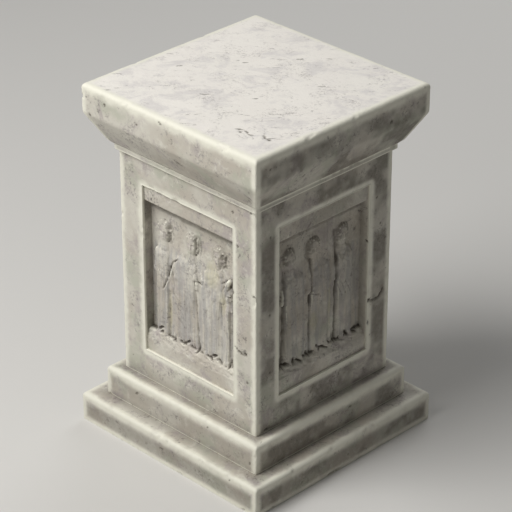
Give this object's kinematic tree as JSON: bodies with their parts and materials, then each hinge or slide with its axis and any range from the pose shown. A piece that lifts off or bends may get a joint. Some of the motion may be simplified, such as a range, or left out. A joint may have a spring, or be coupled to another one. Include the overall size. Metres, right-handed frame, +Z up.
{
  "type": "carved stone pedestal",
  "caption": "Square stone pedestal with stepped plinths, figured relief panels sunk into the die and a splayed cap, to carry a column or statue.",
  "frame": {"origin": "middle of the underside of the lower plinth", "axes": "+Z up the pedestal, X and Y square to its faces; the face with four figures looks along -Y"},
  "size_m": [0.6, 0.6, 0.904],
  "materials": {
    "stone": "weathered warm grey marble, matte, with paler worn arrises, fine pits and dull stains"
  },
  "bodies": {
    "root": {"lower_plinth": "stone", "upper_plinth": "stone", "die": "stone", "cap": "stone"}
  },
  "joints": []
}
